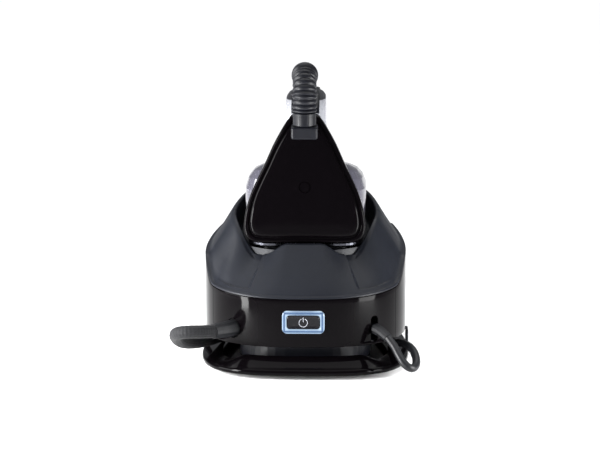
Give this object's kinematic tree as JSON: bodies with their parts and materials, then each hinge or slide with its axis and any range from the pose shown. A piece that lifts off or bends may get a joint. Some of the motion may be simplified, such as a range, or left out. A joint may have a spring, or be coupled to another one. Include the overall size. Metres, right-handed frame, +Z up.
{
  "type": "clothes iron",
  "caption": "Steam generator iron resting on its base station, with a water tank, a braided steam hose and a mains cord wound for storage.",
  "frame": {"origin": "on the floor under the middle of the station, feet included, hose and cord left out", "axes": "+Z up; +Y from the rear panel and the heel towards the nose; +X to the right seen from behind the heel"},
  "size_m": [0.2413, 0.7265, 0.3002],
  "materials": {
    "gloss_black": "gloss",
    "satin_black": "satin",
    "slate_matte": "fine matte",
    "pearl": "gloss",
    "smoke_clear": "clear gloss",
    "light_guide": "translucent",
    "rubber": "matte",
    "braid": "braided",
    "steel": "brushed",
    "aluminium": "cast",
    "brass": "turned",
    "board": "lacquered",
    "felt": "felted",
    "white_plastic": "moulded"
  },
  "bodies": {
    "station": {"base_tray": "gloss_black", "base_core": "satin_black", "rubber_foot_1": "rubber", "rubber_foot_2": "rubber", "rubber_foot_3": "rubber", "rubber_foot_4": "rubber", "cord_clip_left": "satin_black", "cord_clip_right": "satin_black", "chassis_pan": "satin_black", "rear_panel": "gloss_black", "side_shell_left": "gloss_black", "side_shell_right": "gloss_black", "cradle_top": "slate_matte", "button_light_ring": "light_guide", "power_switch": "white_plastic", "control_board": "board", "dock_seal": "rubber", "bulkhead": "satin_black", "steam_generator": "aluminium", "boiler_jacket": "felt", "steam_valve": "brass", "pump": "satin_black", "inlet_tube": "rubber", "feed_tube": "rubber", "rest_pad_left": "rubber", "rest_pad_right": "rubber", "rest_pad_nose": "rubber", "hose_outlet_sleeve": "rubber", "cord_outlet_sleeve": "rubber", "hose_feed": "braid", "hose_rise": "braid", "hose_coil": "braid", "hose_tie": "rubber", "mains_cord": "rubber", "mains_tail": "rubber", "mains_coil": "rubber", "mains_tie": "rubber", "mains_plug": "satin_black"},
    "power_button": {"power_button": "satin_black"},
    "tank": {"water_tank": "smoke_clear", "tank_valve": "white_plastic"},
    "fill_flap": {"fill_flap": "gloss_black"},
    "descaling_cap": {"descaling_cap": "satin_black"},
    "iron": {"soleplate": "steel", "heat_skirt": "satin_black", "heating_block": "aluminium", "steam_chamber_cover": "steel", "thermostat": "white_plastic", "body_shell": "pearl", "heel_cover": "gloss_black", "heel_plug": "satin_black", "handle_shell": "pearl", "handle_grip": "satin_black", "trigger_pin": "steel", "microswitch": "white_plastic", "hose_collar": "satin_black", "socket_sleeve": "satin_black", "hose_relief": "rubber", "hose_upper": "braid"},
    "steam_trigger": {"steam_trigger": "satin_black"}
  },
  "joints": [
    {"name": "iron_lift", "type": "slide", "parent": "station", "child": "iron", "axis": [0, 0, 1], "range_m": [0, 0.12]},
    {"name": "trigger_pull", "type": "hinge", "parent": "iron", "child": "steam_trigger", "pos_m": [0, 0.01018, 0.2402], "axis": [-1, 0, 0], "range_deg": [0, 3.5], "stiffness_Nm_per_rad": 0.5, "springref_deg": -8.59},
    {"name": "power_button_press", "type": "slide", "parent": "station", "child": "power_button", "axis": [0, 1, 0], "range_m": [0, 0.0015], "stiffness_N_per_m": 1200, "springref_m": -0.001},
    {"name": "tank_slide", "type": "slide", "parent": "station", "child": "tank", "axis": [0, 1, 0], "range_m": [0, 0.05]},
    {"name": "flap_swing", "type": "hinge", "parent": "tank", "child": "fill_flap", "pos_m": [0, 0.17593, 0.08729], "axis": [-1, 0, 0], "range_deg": [0, 75]},
    {"name": "cap_turn", "type": "hinge", "parent": "station", "child": "descaling_cap", "pos_m": [0, 0.015, 0.06412], "axis": [1, 0, 0], "range_deg": [0, 90]}
  ]
}
